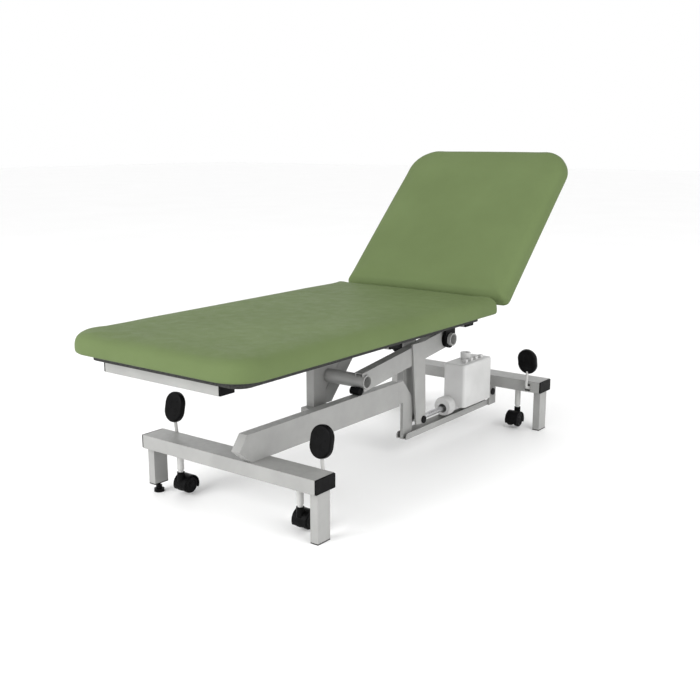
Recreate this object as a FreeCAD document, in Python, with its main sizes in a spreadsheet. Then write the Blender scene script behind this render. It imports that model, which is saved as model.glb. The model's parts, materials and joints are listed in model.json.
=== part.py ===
import FreeCAD, Part
import math
import os
import re
import Sketcher

# Height-adjustable examination couch: a low H-shaped base on retractable castors, one lift arm with a
# parallel control link, a seat section and a hinged backrest held by a gas strut.
# Every piece is drawn on a bench whose y = 0 is the outer face of the front cross beam, x = 0 is the
# couch's middle plane and z = 0 is the floor.  Each node's own Placement then carries it into the frame.

os.makedirs("parts", exist_ok=True)
doc = FreeCAD.newDocument("ExamCouch")
sheet = doc.addObject("Spreadsheet::Sheet", "Sizes")

SIZES = [
    ("front_y", -604.75, "outer face of the front beam in the couch's frame"),
    # cross beams
    ("beam_half", 320.0, "half length of a beam without its caps"),
    ("beam_depth", 80.0, "beam size front to back"),
    ("beam_height", 40.0, "beam size upright"),
    ("beam_low", 140.0, "underside of the beams"),
    ("beam_wall", 3.0, "wall of the beam tube"),
    ("rear_beam_y", 1250.0, "inner face of the rear beam"),
    ("end_cap", 5.0, "thickness of a tube's end cap"),
    ("slot_wide", 20.0, "pedal slot, across"),
    ("slot_low", 144.0, "pedal slot, lower edge"),
    ("slot_tall", 25.0, "pedal slot, height"),
    # legs
    ("leg_wide", 25.0, "leg tube, across"),
    ("leg_deep", 50.0, "leg tube, front to back"),
    ("leg_out", 318.0, "outer face of a leg"),
    ("leg_wall", 2.0, "wall of the leg tube"),
    ("plug_thick", 3.0, "plug under a leg"),
    ("short_leg_gap", 28.0, "floor to the plug of the leg with the levelling foot"),
    ("foot_disc_r", 15.0, "levelling foot disc radius"),
    ("foot_disc_tall", 9.0, "levelling foot disc height"),
    ("foot_neck_r", 9.0, "levelling foot neck radius"),
    ("foot_neck_tall", 4.0, "levelling foot neck height"),
    ("foot_screw_r", 5.0, "levelling screw radius"),
    ("foot_screw_top", 62.0, "top of the levelling screw"),
    ("foot_nut_r", 9.0, "levelling nut, across corners radius"),
    ("foot_nut_low", 14.0, "underside of the levelling nut"),
    ("foot_nut_tall", 6.0, "levelling nut height"),
    ("run_fit", 0.05, "radial clearance of a running fit"),
    # castors
    ("castor_x", 226.0, "castor stem from the middle plane"),
    ("castor_in", 25.0, "castor stem behind the beam's inner face"),
    ("guide_r", 10.0, "castor guide tube radius"),
    ("guide_low", 80.0, "lower end of the guide tube"),
    ("stem_r", 7.5, "castor stem radius"),
    ("stem_low", 72.3, "shoulder of the castor stem"),
    ("stem_top", 152.0, "top of the castor stem"),
    ("stem_hole_r", 8.5, "hole for the stem in the beam"),
    ("swivel_r", 5.0, "swivel pin radius"),
    ("swivel_low", 54.4, "lower end of the swivel pin"),
    ("boss_r", 11.0, "castor boss radius"),
    ("boss_low", 44.0, "lower end of the castor boss"),
    ("boss_top", 72.0, "top of the castor boss"),
    ("bore_low", 54.0, "bottom of the swivel bore"),
    ("trail", 20.0, "wheel axle behind the swivel"),
    ("wheel_r", 25.0, "castor wheel radius"),
    ("wheel_z", 31.0, "castor wheel axle height"),
    ("wheel_gap", 6.0, "middle plane of the castor to a wheel"),
    ("wheel_thick", 16.0, "castor wheel thickness"),
    ("axle_r", 3.0, "castor axle radius"),
    ("hood_r", 30.0, "castor hood outer radius"),
    ("hood_in_r", 26.5, "castor hood inner radius"),
    ("hood_half", 23.0, "castor hood half width"),
    ("web_half", 4.5, "half thickness of the web between the wheels"),
    ("web_drop", 9.0, "web below the axle"),
    ("hood_lift", -12.0, "hood edge above the axle, so below it when negative"),
    # pedals
    ("pedal_x", 275.0, "pedal from the middle plane"),
    ("pedal_in", 3.0, "pedal pivot behind the beam's inner face"),
    ("pedal_z", 156.0, "pedal pivot height"),
    ("pedal_rod_r", 5.0, "pedal rod radius"),
    ("rod_tail", 9.0, "pedal rod's inner end behind the beam's face"),
    ("rod_out", 11.0, "pedal rod's upright part in front of the beam's face"),
    ("rod_bend", 12.0, "bend radius of the pedal rod"),
    ("rod_lean", 7.0, "how far the rod leans back at its top"),
    ("rod_top", 224.0, "top of the pedal rod"),
    ("roll_r", 6.5, "radius of the pedal's pivot roll"),
    ("roll_half", 8.0, "half length of the pedal's pivot roll"),
    ("pad_z", 252.0, "pedal pad centre height"),
    ("pad_y", 7.0, "pedal pad centre in front of the beam's face"),
    ("pad_lean", 12.0, "lean of the pedal pad in degrees"),
    ("pad_r", 35.0, "pedal pad end radius"),
    ("pad_tall", 90.0, "pedal pad height"),
    ("pad_thick", 20.0, "pedal pad thickness"),
    ("pad_round", 6.0, "rounding of the pedal pad's rims"),
    # spine and channel
    ("spine_x", 71.0, "far face of the spine, arm and crank block"),
    ("spine_wide", 30.0, "spine and arm tube, across"),
    ("spine_low", 180.0, "underside of the spine"),
    ("spine_top", 260.0, "top of the spine"),
    ("spine_end", 700.0, "rear end of the spine"),
    ("nose_top", -7.0, "front end of the spine's top edge"),
    ("nose_tip", -39.0, "foremost point of the spine's nose"),
    ("nose_z", 218.0, "height of the nose's foremost point"),
    ("nose_foot", 8.0, "front end of the spine's underside"),
    ("spine_wall", 3.0, "wall of the spine tube"),
    ("riser_x", 81.0, "far face of the riser plate"),
    ("riser_thick", 10.0, "riser plate thickness"),
    ("riser_top", 256.0, "top of the riser plate"),
    ("riser_back", 790.0, "rear edge of the riser plate at the channel"),
    ("riser_front", 735.0, "front edge of the riser plate below the spine"),
    ("riser_knee", 735.0, "rear edge of the riser plate at its top"),
    ("riser_knee_z", 190.0, "height where the riser plate starts to narrow"),
    ("channel_x", 66.0, "far face of the low channel"),
    ("channel_wide", 40.0, "low channel, across"),
    ("channel_low", 60.0, "underside of the low channel"),
    ("channel_tall", 20.0, "low channel, height"),
    ("channel_wall", 3.0, "sheet of the low channel"),
    ("channel_end", 1315.0, "rear end of the low channel"),
    ("channel_round", 12.0, "rounded front corner of the channel walls"),
    ("hanger_thick", 6.0, "rear hanger plate thickness"),
    ("hanger_front", 1270.0, "front edge of the rear hanger"),
    ("hanger_deep", 48.0, "rear hanger front to back"),
    # pivot tower
    ("tower_x", -75.0, "far face of the pivot tower"),
    ("tower_wide", 30.0, "pivot tower tube, across"),
    ("foot_y", 420.0, "front face of the tower's foot tube"),
    ("foot_deep", 85.0, "tower foot tube, front to back"),
    ("foot_tall", 30.0, "tower foot tube, height"),
    ("post_y", 447.0, "front face of the tower post"),
    ("post_end", 505.0, "rear face of the tower post"),
    ("post_top", 365.0, "top of the tower post"),
    ("stay_tilt", 47.1, "slope of the diagonal stay in degrees"),
    ("stay_y", 499.8, "stay's middle line where it leaves the foot"),
    ("stay_half", 25.0, "half width of the stay"),
    ("stay_long", 360.0, "rough length of the stay before trimming"),
    ("stay_back", 60.0, "rough length of the stay behind its base point"),
    ("stay_top", 414.0, "top of the stay"),
    ("gusset_end", 585.0, "rear corner of the gusset"),
    ("gusset_low", 256.0, "lower corner of the gusset"),
    ("gusset_top", 340.0, "top edge of the gusset"),
    ("gusset_thick", 6.0, "gusset plate thickness"),
    ("rest_y", 664.0, "front edge of the rest pad"),
    ("rest_deep", 54.0, "rest pad front to back"),
    ("rest_top", 424.5, "top of the rest pad"),
    ("buffer_y", 492.0, "buffer axis"),
    ("buffer_r", 12.0, "buffer radius"),
    ("buffer_long", 34.0, "buffer length"),
    ("buffer_x", 66.0, "buffer's far end"),
    # lift arm
    ("pivot_y", 516.0, "lower pivot of the lift arm"),
    ("pivot_z", 298.0, "lower pivot height"),
    ("arm_run", 461.0, "lower to upper pivot, along the couch"),
    ("arm_rise", 59.0, "lower to upper pivot, upright"),
    ("arm_tilt", 7.2933, "slope of the lift arm in degrees"),
    ("arm_long", 464.7601, "lower to upper pivot, direct"),
    ("arm_half", 30.0, "half height of the arm tube"),
    ("arm_wall", 3.0, "wall of the arm tube"),
    ("arm_tail", 12.0, "arm tube beyond the lower pivot"),
    ("arm_nose", 31.0, "arm tube beyond the upper pivot"),
    ("torque_r", 21.5, "torque tube radius"),
    ("torque_in_r", 17.5, "torque tube bore radius"),
    ("torque_x", -43.0, "far end of the lower torque tube"),
    ("torque_long", 151.0, "length of the lower torque tube"),
    ("spindle_x", -45.0, "far end of the pivot spindle"),
    ("spindle_long", 105.0, "length of the pivot spindle"),
    ("bush_r", 29.0, "upper bush flange radius"),
    ("bush_thick", 5.0, "upper bush flange thickness"),
    ("crank_thick", 6.0, "crank plate thickness"),
    ("crank_top", 372.0, "top edge of the crank plates"),
    ("crank_front", 764.0, "front top corner of the crank plates"),
    ("crank_back", 838.0, "rear top corner of the crank plates"),
    ("crank_foot", 791.0, "front lower corner of the crank plates"),
    ("crank_foot_z", 98.0, "height of the front lower corner"),
    ("crank_y", 833.0, "crank pin axis"),
    ("crank_eye_r", 13.0, "round end of the crank plates"),
    ("pin_r", 6.0, "radius of the drive's two pins"),
    ("pin_cap_r", 12.5, "radius of a pin's cap"),
    ("pin_cap", 4.0, "thickness of a pin's cap"),
    # control link
    ("link_y", 476.0, "lower pivot of the control link"),
    ("link_z", 345.0, "lower pivot height of the control link"),
    ("link_x", -85.0, "far face of the control link"),
    ("link_thick", 8.0, "control link thickness"),
    ("link_half", 18.0, "half width of the control link"),
    ("link_pin_r", 8.0, "lower link pin radius"),
    ("link_cap_r", 12.0, "lower link pin head radius"),
    ("link_cap", 3.0, "lower link pin head thickness"),
    ("link_top_pin_r", 6.0, "upper link pin radius"),
    ("link_top_clear", 0.5, "clearance of the upper link pin"),
    # drive
    ("drive_z", 107.0, "height of the drive's two pins"),
    ("drive_x", 86.0, "middle of the drive, across"),
    ("drive_y", 1294.0, "rear pin of the drive"),
    ("drive_r", 23.0, "drive tube radius"),
    ("drive_bore_r", 16.0, "bore of the drive tube"),
    ("drive_nose", 985.0, "front end of the drive tube"),
    ("drive_tail", 1222.0, "rear end of the drive tube"),
    ("bore_deep", 125.0, "depth of the drive tube's bore"),
    ("collar_r", 31.0, "radius of the drive's fat nose"),
    ("collar_rise", 6.0, "middle of the nose above the drive's pins"),
    ("collar_long", 37.0, "length of the nose"),
    ("eye_r", 14.0, "eye radius at both ends of the drive"),
    ("eye_wide", 20.0, "eye width at both ends of the drive"),
    ("lug_rise", 3.0, "top of the lug behind the drive tube, above its pin"),
    ("ram_r", 9.0, "drive rod radius"),
    ("ram_long", 225.0, "drive rod length from its pin"),
    ("box_x", 65.0, "far face of the control box"),
    ("box_wide", 87.0, "control box, across"),
    ("box_y", 1022.0, "front face of the control box"),
    ("box_deep", 188.0, "control box front to back"),
    ("box_low", 110.0, "underside of the control box"),
    ("box_top", 260.0, "top of the control box"),
    ("box_round", 12.0, "rounded edges of the control box"),
    ("dome_r", 18.0, "round socket on the control box"),
    ("dome_tall", 24.0, "round socket height"),
    ("dome_x", 96.0, "round socket, across"),
    ("dome_y", 1118.0, "round socket, along"),
    ("dish_r", 12.0, "recess in the round socket"),
    ("dish_deep", 3.0, "depth of the recess"),
    ("tap_wide", 12.0, "small connector, across"),
    ("tap_deep", 16.0, "small connector, along"),
    ("tap_tall", 10.0, "small connector height"),
    ("tap_x", 120.0, "row of small connectors, across"),
    ("tap_y", 1060.0, "first small connector, along"),
    ("tap_step", 34.0, "spacing of the small connectors"),
    # seat
    ("frame_low", 425.0, "underside of the seat and backrest frames when level"),
    ("frame_tall", 25.0, "frame tube height"),
    ("frame_wall", 2.0, "wall of the frame tubes"),
    ("cross_half", 227.0, "half length of the middle and head cross tubes"),
    ("foot_cross_half", 205.0, "half length of the foot cross tube"),
    ("cross_deep", 50.0, "seat cross tube front to back"),
    ("foot_cross", -212.0, "foot cross tube's front face"),
    ("mid_cross", 455.0, "middle cross tube's front face"),
    ("head_cross", 880.0, "head cross tube's front face"),
    ("rail_in", 60.0, "inner face of a seat rail"),
    ("rail_wide", 50.0, "seat rail, across"),
    ("rail_end", 1007.0, "head end of the seat rails"),
    ("board_thick", 20.0, "board under a cushion"),
    ("board_half", 276.0, "half width of a board"),
    ("cushion_half", 325.0, "half width of a cushion"),
    ("cushion_thick", 56.0, "cushion thickness"),
    ("seat_foot", -262.0, "foot end of the seat cushion"),
    ("seat_head", 936.0, "head end of the seat cushion"),
    ("board_inset", 49.0, "board edge behind the cushion edge"),
    ("foot_corner", 88.0, "foot corner radius of the seat cushion"),
    ("head_corner", 20.0, "corner radius beside the backrest hinge"),
    ("top_corner", 108.0, "top corner radius of the backrest cushion"),
    ("cushion_round", 18.0, "rounded upper edge of a cushion"),
    ("bracket_thick", 8.0, "seat pivot bracket thickness"),
    ("bracket_half", 30.0, "half width of a seat pivot bracket"),
    ("bracket_top", 448.0, "top of the seat pivot brackets"),
    ("upper_tube_x", 50.0, "far end of the seat pivot tube"),
    ("upper_tube_long", 80.0, "length of the seat pivot tube"),
    ("ear_thick", 6.0, "link ear thickness"),
    ("ear_gap", 3.0, "gap beside the control link"),
    ("strut_y", 910.0, "strut's lower pivot"),
    ("strut_z", 370.0, "height of the strut's lower pivot"),
    ("strut_ear_gap", 12.0, "middle plane to a strut ear"),
    ("strut_ear", 5.0, "strut ear thickness"),
    ("strut_ear_r", 12.0, "round end of a strut ear"),
    ("strut_ear_half", 18.0, "half width of a strut ear at its root"),
    ("strut_pin_r", 4.0, "strut pin radius"),
    # backrest: these are measured from the hinge axis with the backrest level
    ("hinge_y", 977.0, "backrest hinge axis"),
    ("hinge_z", 485.0, "backrest hinge height"),
    ("back_tilt", 44.4, "backrest slope in degrees"),
    ("back_start", 10.4, "lower end of the backrest cushion"),
    ("back_end", 677.4, "upper end of the backrest cushion"),
    ("back_under", -60.0, "underside of the backrest frame"),
    ("back_frame_end", 620.0, "upper end of the backrest frame"),
    ("back_frame_start", 14.0, "lower end of the backrest frame"),
    ("side_in", 170.0, "inner face of a backrest side tube"),
    ("side_wide", 25.0, "backrest side tube, across"),
    ("back_cross_low", 95.0, "lower backrest cross tube"),
    ("back_cross_deep", 40.0, "lower backrest cross tube front to back"),
    ("back_cross_mid", 345.0, "middle backrest cross tube"),
    ("back_cross_top", 595.0, "upper backrest cross tube"),
    ("lug_r", 8.0, "hinge lug boss radius"),
    ("lug_thick", 6.0, "hinge lug thickness"),
    ("lug_gap", 0.5, "gap between the two hinge lugs"),
    ("lug_pin_r", 4.0, "hinge pin radius"),
    ("lug_head_r", 7.0, "hinge pin head radius"),
    ("lug_head", 2.0, "hinge pin head thickness"),
    ("strut_reach", 115.0, "strut's upper pivot along the backrest"),
    ("strut_drop", -75.0, "strut's upper pivot below the hinge axis"),
    ("strut_tilt", 35.130, "slope of the strut in degrees"),
    ("strut_span", 246.551, "strut length between its pivots"),
    ("strut_tube_r", 11.0, "strut tube radius"),
    ("strut_bore_r", 6.2, "strut tube bore radius"),
    ("strut_tube_end", 165.0, "front end of the strut tube"),
    ("strut_bore_from", 25.0, "start of the strut tube's bore"),
    ("strut_rod_r", 5.0, "strut rod radius"),
    ("strut_rod_long", 150.0, "strut rod length from its pivot"),
    ("strut_eye_r", 9.0, "strut eye radius"),
    ("strut_eye_half", 8.0, "half width of a strut eye"),
]

for row, (alias, value, meaning) in enumerate(SIZES, start=1):
    sheet.set("A%d" % row, alias)
    sheet.set("B%d" % row, str(value))
    sheet.set("C%d" % row, meaning)
    sheet.setAlias("B%d" % row, alias)
doc.recompute()

ALIASES = {alias for alias, value, meaning in SIZES}
WORD = re.compile(r"[a-z][a-z_0-9]*")
X_AXIS = FreeCAD.Vector(1, 0, 0)
Y_AXIS = FreeCAD.Vector(0, 1, 0)
Z_AXIS = FreeCAD.Vector(0, 0, 1)
NODES = []


# ---------------------------------------------------------------- small helpers
def bound(text):
    """Turn size names into references to the sheet."""
    return WORD.sub(lambda hit: "Sizes." + hit.group(0) if hit.group(0) in ALIASES else hit.group(0), text)


def drive(item, **rules):
    for name, text in rules.items():
        item.setExpression(name, bound(text))


def place(item, x="0", y="0", z="0", axis=None, turn="0"):
    """Bind a position, and a turn about one axis, to the sheet."""
    if axis is not None:
        item.Placement = FreeCAD.Placement(FreeCAD.Vector(), FreeCAD.Rotation(axis, 1.0))
        item.setExpression("Placement.Rotation.Angle", bound(turn))
    item.setExpression("Placement.Base.x", bound(x))
    item.setExpression("Placement.Base.y", bound(y))
    item.setExpression("Placement.Base.z", bound(z))
    return item


def box(name, low, size):
    item = doc.addObject("Part::Box", name)
    drive(item, Length=size[0], Width=size[1], Height=size[2])
    return place(item, low[0], low[1], low[2])


def rod(name, axis, start, radius, length):
    """A cylinder from start along one axis."""
    item = doc.addObject("Part::Cylinder", name)
    drive(item, Radius=radius, Height=length)
    place(item, start[0], start[1], start[2])
    if axis == "x":
        item.Placement.Rotation = FreeCAD.Rotation(Y_AXIS, 90)
    if axis == "y":
        item.Placement.Rotation = FreeCAD.Rotation(X_AXIS, -90)
    return item


def fuse(name, pieces):
    item = doc.addObject("Part::MultiFuse", name)
    item.Shapes = pieces
    item.Refine = True
    return item


def cut(name, body, tools):
    tool = tools[0] if len(tools) == 1 else fuse(name + "_tools", tools)
    item = doc.addObject("Part::Cut", name)
    item.Base = body
    item.Tool = tool
    item.Refine = True
    return item


def tube(name, axis, low, size, wall):
    """A rectangular tube, open at both ends along one axis."""
    inner_low = list(low)
    inner_size = list(size)
    for index, letter in enumerate("xyz"):
        if letter == axis:
            continue
        inner_low[index] = "%s + %s" % (low[index], wall)
        inner_size[index] = "%s - 2 * %s" % (size[index], wall)
    return cut(name, box(name + "_outer", low, size), [box(name + "_inner", inner_low, inner_size)])


def ring(name, axis, start, radius, bore, length):
    return cut(name, rod(name + "_outer", axis, start, radius, length),
               [rod(name + "_bore", axis, start, bore, length)])


def plane_of(body, role):
    return [item for item in body.Origin.OriginFeatures if item.Role == role][0]


def new_sketch(body, role, name):
    sketch = body.newObject("Sketcher::SketchObject", name)
    sketch.AttachmentSupport = (plane_of(body, role), [""])
    sketch.MapMode = "FlatFace"
    return sketch


def outline(sketch, corners):
    """Draw a closed outline whose every corner is held by two named distances."""
    count = len(corners)
    spots = [FreeCAD.Vector(math.cos(math.tau * i / count), math.sin(math.tau * i / count), 0)
             for i in range(count)]
    for i in range(count):
        sketch.addGeometry(Part.LineSegment(spots[i], spots[(i + 1) % count]), False)
    for i in range(count):
        sketch.addConstraint(Sketcher.Constraint("Coincident", i, 2, (i + 1) % count, 1))
    for i, corner in enumerate(corners):
        for kind, text in (("DistanceX", corner[0]), ("DistanceY", corner[1])):
            number = sketch.addConstraint(Sketcher.Constraint(kind, -1, 1, i, 1, 1.0))
            sketch.setExpression("Constraints[%d]" % number, bound(text))


def slab(name, role, corners, thick):
    """A body padded from one straight-sided outline on an origin plane."""
    body = doc.addObject("PartDesign::Body", name)
    sketch = new_sketch(body, role, name + "_outline")
    outline(sketch, corners)
    pad = body.newObject("PartDesign::Pad", name + "_pad")
    pad.Profile = sketch
    drive(pad, Length=thick)
    body.Tip = pad
    doc.recompute()
    return body


def round_edges(body, name, wanted, radius):
    """Fillet the edges of the body's tip that the rule picks."""
    tip = body.Tip
    picked = ["Edge%d" % (i + 1) for i, edge in enumerate(tip.Shape.Edges) if wanted(edge)]
    fillet = body.newObject("PartDesign::Fillet", name)
    fillet.Base = (tip, picked)
    drive(fillet, Radius=radius)
    body.Tip = fillet
    doc.recompute()
    return body


def size_of(alias):
    return float(sheet.get(alias))


def upright(edge):
    box_of = edge.BoundBox
    return box_of.ZLength > 1.0 and box_of.XLength < 0.01 and box_of.YLength < 0.01


def node(name, pieces, x="0", y="front_y", z="0", axis=None, turn="0"):
    """Make one named piece of the couch from one or more solids and give it its own placement."""
    item = doc.addObject("Part::Compound", name)
    item.Links = pieces
    item.Label = name
    place(item, x, y, z, axis, turn)
    NODES.append(item)
    return item


# ---------------------------------------------------------------- base
def cross_beam(name, inner_face, inward):
    """One beam with a slot for each pedal in its inner face and a hole under each castor stem."""
    low_y = "0" if inward > 0 else "rear_beam_y"
    beam = tube(name + "_tube", "x", ("-beam_half", low_y, "beam_low"),
                ("2 * beam_half", "beam_depth", "beam_height"), "beam_wall")
    tools = []
    for side in ("-1", "1"):
        mark = "%s_%s" % (name, "left" if side == "-1" else "right")
        tools.append(box(mark + "_slot", ("%s * pedal_x - slot_wide / 2" % side,
                                          "%s - 2 * beam_wall" % inner_face, "slot_low"),
                         ("slot_wide", "4 * beam_wall", "slot_tall")))
        stem_y = "%s - (%d) * castor_in" % (inner_face, inward)
        tools.append(rod(mark + "_stem_hole", "z",
                         ("%s * castor_x" % side, stem_y, "beam_low - beam_wall"),
                         "stem_hole_r", "3 * beam_wall"))
    return cut(name, beam, tools)


def base_beams():
    front = cross_beam("front_beam", "beam_depth", 1)
    rear = cross_beam("rear_beam", "rear_beam_y", -1)
    node("cross_beams", [front, rear])
    caps = []
    for low_y in ("0", "rear_beam_y"):
        for low_x in ("-beam_half - end_cap", "beam_half"):
            caps.append(box("beam_cap_%d" % len(caps), (low_x, low_y, "beam_low"),
                            ("end_cap", "beam_depth", "beam_height")))
    node("beam_end_caps", caps)


def base_legs():
    """Four leg tubes; the front left one is shorter and stands on a levelling foot."""
    legs = []
    plugs = []
    inset = "(beam_depth - leg_deep) / 2"
    for low_y in (inset, "rear_beam_y + " + inset):
        for low_x in ("-leg_out", "leg_out - leg_wide"):
            gap = "short_leg_gap" if not legs else "0"
            low = (low_x, low_y, gap + " + plug_thick")
            legs.append(tube("leg_%d" % len(legs), "z", low,
                             ("leg_wide", "leg_deep", "beam_low - plug_thick - " + gap), "leg_wall"))
            plug = box("leg_plug_%d" % len(plugs), (low_x, low_y, gap),
                       ("leg_wide", "leg_deep", "plug_thick"))
            if not plugs:
                hole = rod("plug_hole", "z", ("leg_wide / 2 - leg_out", "beam_depth / 2", gap),
                           "foot_screw_r + run_fit", "plug_thick")
                plug = cut("drilled_plug", plug, [hole])
            plugs.append(plug)
    node("legs", legs)
    node("leg_plugs", plugs)


def levelling_foot():
    disc = rod("foot_disc", "z", ("0", "0", "0"), "foot_disc_r", "foot_disc_tall")
    neck = rod("foot_neck", "z", ("0", "0", "foot_disc_tall"), "foot_neck_r", "foot_neck_tall")
    screw = rod("foot_screw", "z", ("0", "0", "0"), "foot_screw_r", "foot_screw_top")
    nut = doc.addObject("Part::Prism", "foot_nut")
    nut.Polygon = 6
    drive(nut, Circumradius="foot_nut_r", Height="foot_nut_tall")
    place(nut, z="foot_nut_low")
    node("levelling_foot", [fuse("foot_all", [disc, neck, screw, nut])],
         x="leg_wide / 2 - leg_out", y="front_y + beam_depth / 2")


def base_spine():
    spine = slab("spine_body", "YZ_Plane",
                 [("nose_top", "spine_top"), ("nose_tip", "nose_z"), ("nose_foot", "spine_low"),
                  ("spine_end", "spine_low"), ("spine_end", "spine_top")], "spine_wide")
    place(spine, x="spine_x")
    hollow = box("spine_hollow", ("spine_x + spine_wall", "nose_foot + spine_wall", "spine_low + spine_wall"),
                 ("spine_wide - 2 * spine_wall", "spine_end - nose_foot",
                  "spine_top - spine_low - 2 * spine_wall"))
    node("spine_tube", [cut("spine_cut", spine, [hollow])])
    riser = slab("riser_body", "YZ_Plane",
                 [("spine_end", "spine_low + spine_wall"), ("riser_front", "spine_low + spine_wall"),
                    ("riser_front", "channel_low + channel_wall"),
                  ("riser_back", "channel_low + channel_wall"), ("riser_back", "riser_knee_z"),
                  ("riser_knee", "riser_top"), ("spine_end", "riser_top")], "riser_thick")
    place(riser, x="riser_x")
    node("riser_plate", [riser])


def base_channel():
    """Floor channel that ties the spine to the rear beam, with its walls rounded at the front."""
    body = slab("channel_body", "YZ_Plane",
                [("riser_front", "channel_low"), ("channel_end", "channel_low"),
                 ("channel_end", "channel_low + channel_tall"),
                 ("riser_front", "channel_low + channel_tall")], "channel_wide")
    top = size_of("channel_low") + size_of("channel_tall")
    front = size_of("riser_front")
    round_edges(body, "channel_corner",
                lambda edge: edge.BoundBox.XLength > 1 and abs(edge.BoundBox.ZMin - top) < 0.01
                and abs(edge.BoundBox.YMin - front) < 0.01, "channel_round")
    place(body, x="channel_x")
    hollow = box("channel_hollow",
                 ("channel_x + channel_wall", "riser_front - channel_wall", "channel_low + channel_wall"),
                 ("channel_wide - 2 * channel_wall", "channel_end - riser_front + 2 * channel_wall",
                  "channel_tall"))
    node("low_channel", [cut("channel_cut", body, [hollow])])


def base_hanger():
    plates = []
    for low_x in ("channel_x - hanger_thick", "channel_x + channel_wide"):
        name = "hanger_%d" % len(plates)
        plate = box(name + "_blank", (low_x, "hanger_front", "channel_low"),
                    ("hanger_thick", "hanger_deep", "beam_low - channel_low"))
        hole = rod(name + "_hole", "x", (low_x, "drive_y", "drive_z"), "pin_r", "hanger_thick")
        plates.append(cut(name, plate, [hole]))
    node("rear_hanger", plates)
    node("drive_rear_pin", [capped_pin("rear_pin", "channel_x - hanger_thick",
                                       "channel_wide + 2 * hanger_thick", "drive_y")])


def capped_pin(name, low_x, length, y):
    """A cross pin with a flat round cap at each end."""
    pin = rod(name + "_shaft", "x", (low_x, y, "drive_z"), "pin_r", length)
    far = rod(name + "_far_cap", "x", (low_x + " - pin_cap", y, "drive_z"), "pin_cap_r", "pin_cap")
    near = rod(name + "_near_cap", "x", (low_x + " + " + length, y, "drive_z"), "pin_cap_r", "pin_cap")
    return fuse(name, [pin, far, near])


def base_tower():
    """Foot tube, post, diagonal stay and gusset that carry the lift arm's lower pivot."""
    foot = tube("tower_foot", "x", ("tower_x", "foot_y", "spine_low"),
                ("spine_x - tower_x", "foot_deep", "foot_tall"), "spine_wall")
    base_z = "spine_low + foot_tall"
    post_outer = box("post_outer", ("tower_x", "post_y", base_z),
                     ("tower_wide", "post_end - post_y", "post_top - (%s)" % base_z))
    post_inner = box("post_inner", ("tower_x + spine_wall", "post_y + spine_wall", base_z),
                     ("tower_wide - 2 * spine_wall", "post_end - post_y - 2 * spine_wall",
                      "post_top - (%s) - spine_wall" % base_z))
    post = cut("tower_post", post_outer, [post_inner])
    straight = tube("stay_straight", "y", ("tower_x", "-stay_back", "-stay_half"),
                    ("tower_wide", "stay_long", "2 * stay_half"), "spine_wall")
    sloped = doc.addObject("Part::Compound", "stay_sloped")
    sloped.Links = [straight]
    place(sloped, "0", "stay_y", base_z, X_AXIS, "stay_tilt")
    below = box("stay_below", ("tower_x - 1", "post_y - stay_back", base_z + " - stay_long"),
                ("tower_wide + 2", "stay_long", "stay_long"))
    before = box("stay_before", ("tower_x - 1", "post_end - stay_long", base_z + " - stay_back"),
                 ("tower_wide + 2", "stay_long", "stay_long"))
    above = box("stay_above", ("tower_x - 1", "post_end", "stay_top"),
                ("tower_wide + 2", "stay_long", "stay_long"))
    stay = cut("tower_stay", sloped, [below, before, above])
    gusset = slab("gusset_body", "YZ_Plane",
                  [("post_end", "gusset_low"), ("gusset_end", "gusset_top"), ("post_end", "gusset_top")],
                  "gusset_thick")
    place(gusset, x="tower_x + tower_wide - gusset_thick")
    node("pivot_tower", [foot, post, stay, gusset])
    node("rest_pad", [box("rest_block", ("tower_x", "rest_y", "stay_top"),
                          ("tower_wide", "rest_deep", "rest_top - stay_top"))])


def base_pivots():
    """Spindle for the lift arm, head pin for the control link, and the buffer on the spine."""
    spindle = rod("lift_spindle", "x", ("spindle_x", "pivot_y", "pivot_z"),
                  "torque_in_r - run_fit", "spindle_long")
    shaft = rod("link_shaft", "x", ("link_x - 2 * run_fit", "link_y", "link_z"), "link_pin_r",
                "tower_x - link_x + 2 * run_fit")
    head = rod("link_head", "x", ("link_x - 2 * run_fit - link_cap", "link_y", "link_z"),
               "link_cap_r", "link_cap")
    node("pivot_spindles", [spindle, fuse("link_lower_pin", [shaft, head])])
    node("spine_buffer", [rod("buffer_roll", "x", ("buffer_x", "buffer_y", "spine_top + buffer_r"),
                              "buffer_r", "buffer_long")])


def castor_guides():
    guides = []
    for y in ("beam_depth - castor_in", "rear_beam_y + castor_in"):
        for side in ("-1", "1"):
            guides.append(ring("castor_guide_%d" % len(guides), "z",
                               ("%s * castor_x" % side, y, "guide_low"), "guide_r",
                               "stem_r + run_fit", "beam_low - guide_low"))
    node("castor_guides", guides)


# ---------------------------------------------------------------- castors and pedals
CORNERS = [("front_left", "-1", 1), ("front_right", "1", 1), ("rear_left", "-1", -1), ("rear_right", "1", -1)]


def corner_node(name, pieces, x, inward):
    """Carry a corner assembly, drawn with +Y pointing away from its beam, to its beam's inner face."""
    y = "front_y + beam_depth" if inward > 0 else "front_y + rear_beam_y"
    turn = "0" if inward > 0 else "180"
    return node(name, pieces, x, y, "0", Z_AXIS, turn)


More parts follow.
